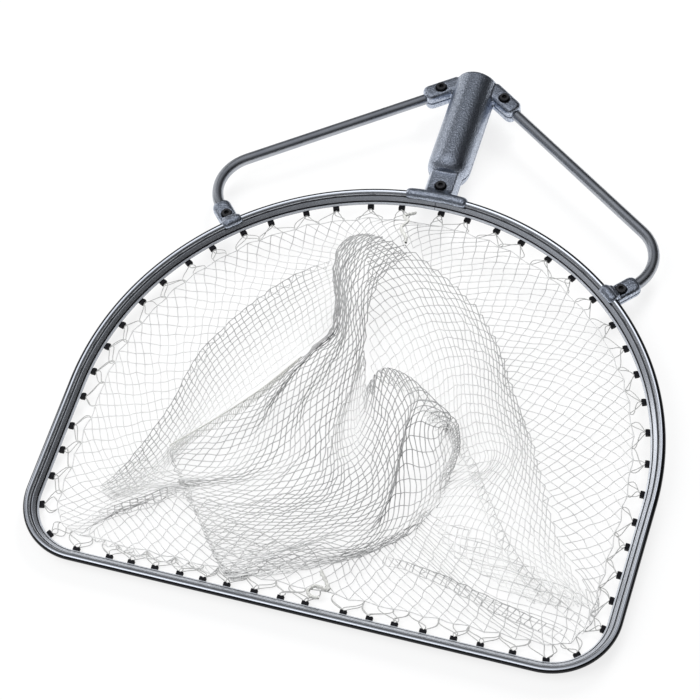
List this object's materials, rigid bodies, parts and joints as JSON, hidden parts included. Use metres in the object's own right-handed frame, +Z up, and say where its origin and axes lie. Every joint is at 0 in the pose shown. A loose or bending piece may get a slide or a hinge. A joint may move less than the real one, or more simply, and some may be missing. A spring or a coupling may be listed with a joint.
{
  "type": "pond net head",
  "caption": "D-shaped pond or pool net head: extruded hoop with a clip track, cast handle socket, bent brace rods with hoop clamps, sliding net clips and a collapsed net bag.",
  "frame": {"origin": "middle of the footprint, on the floor that the head lies on", "axes": "+Y from the straight front of the hoop towards the handle socket, +X to the right seen from above with the socket away, +Z up"},
  "size_m": [0.5914, 0.6551, 0.0503],
  "materials": {
    "satin_aluminium": "satin extruded",
    "drawn_rod": "smooth drawn",
    "coated_casting": "speckled coated casting",
    "black_oxide_steel": "black oxide",
    "black_plastic": "moulded matt",
    "pale_netting": "knotless netting"
  },
  "bodies": {
    "head": {"hoop": "satin_aluminium", "bracket_upper": "coated_casting", "bracket_lower": "coated_casting", "tongue_screw": "black_oxide_steel", "left_ear_screw": "black_oxide_steel", "right_ear_screw": "black_oxide_steel", "tongue_nut": "black_oxide_steel", "left_ear_nut": "black_oxide_steel", "right_ear_nut": "black_oxide_steel", "left_brace_rod": "drawn_rod", "right_brace_rod": "drawn_rod", "left_clamp_upper": "coated_casting", "left_clamp_lower": "coated_casting", "left_clamp_screw": "black_oxide_steel", "left_clamp_nut": "black_oxide_steel", "right_clamp_upper": "coated_casting", "right_clamp_lower": "coated_casting", "right_clamp_screw": "black_oxide_steel", "right_clamp_nut": "black_oxide_steel", "net_bag": "pale_netting"},
    "front_clip_01": {"front_clip_01": "black_plastic"},
    "front_clip_02": {"front_clip_02": "black_plastic"},
    "front_clip_03": {"front_clip_03": "black_plastic"},
    "front_clip_04": {"front_clip_04": "black_plastic"},
    "front_clip_05": {"front_clip_05": "black_plastic"},
    "front_clip_06": {"front_clip_06": "black_plastic"},
    "front_clip_07": {"front_clip_07": "black_plastic"},
    "front_clip_08": {"front_clip_08": "black_plastic"},
    "front_clip_09": {"front_clip_09": "black_plastic"},
    "front_clip_10": {"front_clip_10": "black_plastic"},
    "front_clip_11": {"front_clip_11": "black_plastic"},
    "front_clip_12": {"front_clip_12": "black_plastic"},
    "front_clip_13": {"front_clip_13": "black_plastic"},
    "front_clip_14": {"front_clip_14": "black_plastic"},
    "front_clip_15": {"front_clip_15": "black_plastic"},
    "front_clip_16": {"front_clip_16": "black_plastic"},
    "left_clip_01": {"left_clip_01": "black_plastic"},
    "left_clip_02": {"left_clip_02": "black_plastic"},
    "left_clip_03": {"left_clip_03": "black_plastic"},
    "left_clip_04": {"left_clip_04": "black_plastic"},
    "left_clip_05": {"left_clip_05": "black_plastic"},
    "left_clip_06": {"left_clip_06": "black_plastic"},
    "left_clip_07": {"left_clip_07": "black_plastic"},
    "left_clip_08": {"left_clip_08": "black_plastic"},
    "left_clip_09": {"left_clip_09": "black_plastic"},
    "left_clip_10": {"left_clip_10": "black_plastic"},
    "right_clip_01": {"right_clip_01": "black_plastic"},
    "right_clip_02": {"right_clip_02": "black_plastic"},
    "right_clip_03": {"right_clip_03": "black_plastic"},
    "right_clip_04": {"right_clip_04": "black_plastic"},
    "right_clip_05": {"right_clip_05": "black_plastic"},
    "right_clip_06": {"right_clip_06": "black_plastic"},
    "right_clip_07": {"right_clip_07": "black_plastic"},
    "right_clip_08": {"right_clip_08": "black_plastic"},
    "right_clip_09": {"right_clip_09": "black_plastic"},
    "right_clip_10": {"right_clip_10": "black_plastic"}
  },
  "joints": [
    {"name": "front_clip_01_slide", "type": "slide", "parent": "head", "child": "front_clip_01", "axis": [1, 0, 0], "range_m": [-0.006, 0.006]},
    {"name": "front_clip_02_slide", "type": "slide", "parent": "head", "child": "front_clip_02", "axis": [1, 0, 0], "range_m": [-0.006, 0.006]},
    {"name": "front_clip_03_slide", "type": "slide", "parent": "head", "child": "front_clip_03", "axis": [1, 0, 0], "range_m": [-0.006, 0.006]},
    {"name": "front_clip_04_slide", "type": "slide", "parent": "head", "child": "front_clip_04", "axis": [1, 0, 0], "range_m": [-0.006, 0.006]},
    {"name": "front_clip_05_slide", "type": "slide", "parent": "head", "child": "front_clip_05", "axis": [1, 0, 0], "range_m": [-0.006, 0.006]},
    {"name": "front_clip_06_slide", "type": "slide", "parent": "head", "child": "front_clip_06", "axis": [1, 0, 0], "range_m": [-0.006, 0.006]},
    {"name": "front_clip_07_slide", "type": "slide", "parent": "head", "child": "front_clip_07", "axis": [1, 0, 0], "range_m": [-0.006, 0.006]},
    {"name": "front_clip_08_slide", "type": "slide", "parent": "head", "child": "front_clip_08", "axis": [1, 0, 0], "range_m": [-0.006, 0.006]},
    {"name": "front_clip_09_slide", "type": "slide", "parent": "head", "child": "front_clip_09", "axis": [1, 0, 0], "range_m": [-0.006, 0.006]},
    {"name": "front_clip_10_slide", "type": "slide", "parent": "head", "child": "front_clip_10", "axis": [1, 0, 0], "range_m": [-0.006, 0.006]},
    {"name": "front_clip_11_slide", "type": "slide", "parent": "head", "child": "front_clip_11", "axis": [1, 0, 0], "range_m": [-0.006, 0.006]},
    {"name": "front_clip_12_slide", "type": "slide", "parent": "head", "child": "front_clip_12", "axis": [1, 0, 0], "range_m": [-0.006, 0.006]},
    {"name": "front_clip_13_slide", "type": "slide", "parent": "head", "child": "front_clip_13", "axis": [1, 0, 0], "range_m": [-0.006, 0.006]},
    {"name": "front_clip_14_slide", "type": "slide", "parent": "head", "child": "front_clip_14", "axis": [1, 0, 0], "range_m": [-0.006, 0.006]},
    {"name": "front_clip_15_slide", "type": "slide", "parent": "head", "child": "front_clip_15", "axis": [1, 0, 0], "range_m": [-0.006, 0.006]},
    {"name": "front_clip_16_slide", "type": "slide", "parent": "head", "child": "front_clip_16", "axis": [1, 0, 0], "range_m": [-0.006, 0.006]},
    {"name": "left_clip_01_slide", "type": "hinge", "parent": "head", "child": "left_clip_01", "pos_m": [0, -0.12977, 0.01897], "axis": [0, -0.0382, 0.9993], "range_deg": [-1.23, 1.23]},
    {"name": "left_clip_02_slide", "type": "hinge", "parent": "head", "child": "left_clip_02", "pos_m": [0, -0.12977, 0.01897], "axis": [0, -0.0382, 0.9993], "range_deg": [-1.23, 1.23]},
    {"name": "left_clip_03_slide", "type": "hinge", "parent": "head", "child": "left_clip_03", "pos_m": [0, -0.12977, 0.01897], "axis": [0, -0.0382, 0.9993], "range_deg": [-1.23, 1.23]},
    {"name": "left_clip_04_slide", "type": "hinge", "parent": "head", "child": "left_clip_04", "pos_m": [0, -0.12977, 0.01897], "axis": [0, -0.0382, 0.9993], "range_deg": [-1.23, 1.23]},
    {"name": "left_clip_05_slide", "type": "hinge", "parent": "head", "child": "left_clip_05", "pos_m": [0, -0.12977, 0.01897], "axis": [0, -0.0382, 0.9993], "range_deg": [-1.23, 1.23]},
    {"name": "left_clip_06_slide", "type": "hinge", "parent": "head", "child": "left_clip_06", "pos_m": [0, -0.12977, 0.01897], "axis": [0, -0.0382, 0.9993], "range_deg": [-1.23, 1.23]},
    {"name": "left_clip_07_slide", "type": "hinge", "parent": "head", "child": "left_clip_07", "pos_m": [0, -0.12977, 0.01897], "axis": [0, -0.0382, 0.9993], "range_deg": [-1.23, 1.23]},
    {"name": "left_clip_08_slide", "type": "slide", "parent": "head", "child": "left_clip_08", "axis": [-0.0297, 0.9988, 0.0382], "range_m": [-0.006, 0.006]},
    {"name": "left_clip_09_slide", "type": "slide", "parent": "head", "child": "left_clip_09", "axis": [-0.0297, 0.9988, 0.0382], "range_m": [-0.006, 0.006]},
    {"name": "left_clip_10_slide", "type": "hinge", "parent": "head", "child": "left_clip_10", "pos_m": [-0.2257, -0.26127, 0.01394], "axis": [0, -0.0382, 0.9993], "range_deg": [-6.77, 6.77]},
    {"name": "right_clip_01_slide", "type": "hinge", "parent": "head", "child": "right_clip_01", "pos_m": [0, -0.12977, 0.01897], "axis": [0, -0.0382, 0.9993], "range_deg": [-1.23, 1.23]},
    {"name": "right_clip_02_slide", "type": "hinge", "parent": "head", "child": "right_clip_02", "pos_m": [0, -0.12977, 0.01897], "axis": [0, -0.0382, 0.9993], "range_deg": [-1.23, 1.23]},
    {"name": "right_clip_03_slide", "type": "hinge", "parent": "head", "child": "right_clip_03", "pos_m": [0, -0.12977, 0.01897], "axis": [0, -0.0382, 0.9993], "range_deg": [-1.23, 1.23]},
    {"name": "right_clip_04_slide", "type": "hinge", "parent": "head", "child": "right_clip_04", "pos_m": [0, -0.12977, 0.01897], "axis": [0, -0.0382, 0.9993], "range_deg": [-1.23, 1.23]},
    {"name": "right_clip_05_slide", "type": "hinge", "parent": "head", "child": "right_clip_05", "pos_m": [0, -0.12977, 0.01897], "axis": [0, -0.0382, 0.9993], "range_deg": [-1.23, 1.23]},
    {"name": "right_clip_06_slide", "type": "hinge", "parent": "head", "child": "right_clip_06", "pos_m": [0, -0.12977, 0.01897], "axis": [0, -0.0382, 0.9993], "range_deg": [-1.23, 1.23]},
    {"name": "right_clip_07_slide", "type": "hinge", "parent": "head", "child": "right_clip_07", "pos_m": [0, -0.12977, 0.01897], "axis": [0, -0.0382, 0.9993], "range_deg": [-1.23, 1.23]},
    {"name": "right_clip_08_slide", "type": "slide", "parent": "head", "child": "right_clip_08", "axis": [0.0297, 0.9988, 0.0382], "range_m": [-0.006, 0.006]},
    {"name": "right_clip_09_slide", "type": "slide", "parent": "head", "child": "right_clip_09", "axis": [0.0297, 0.9988, 0.0382], "range_m": [-0.006, 0.006]},
    {"name": "right_clip_10_slide", "type": "hinge", "parent": "head", "child": "right_clip_10", "pos_m": [0.2257, -0.26127, 0.01394], "axis": [0, -0.0382, 0.9993], "range_deg": [-6.77, 6.77]}
  ]
}
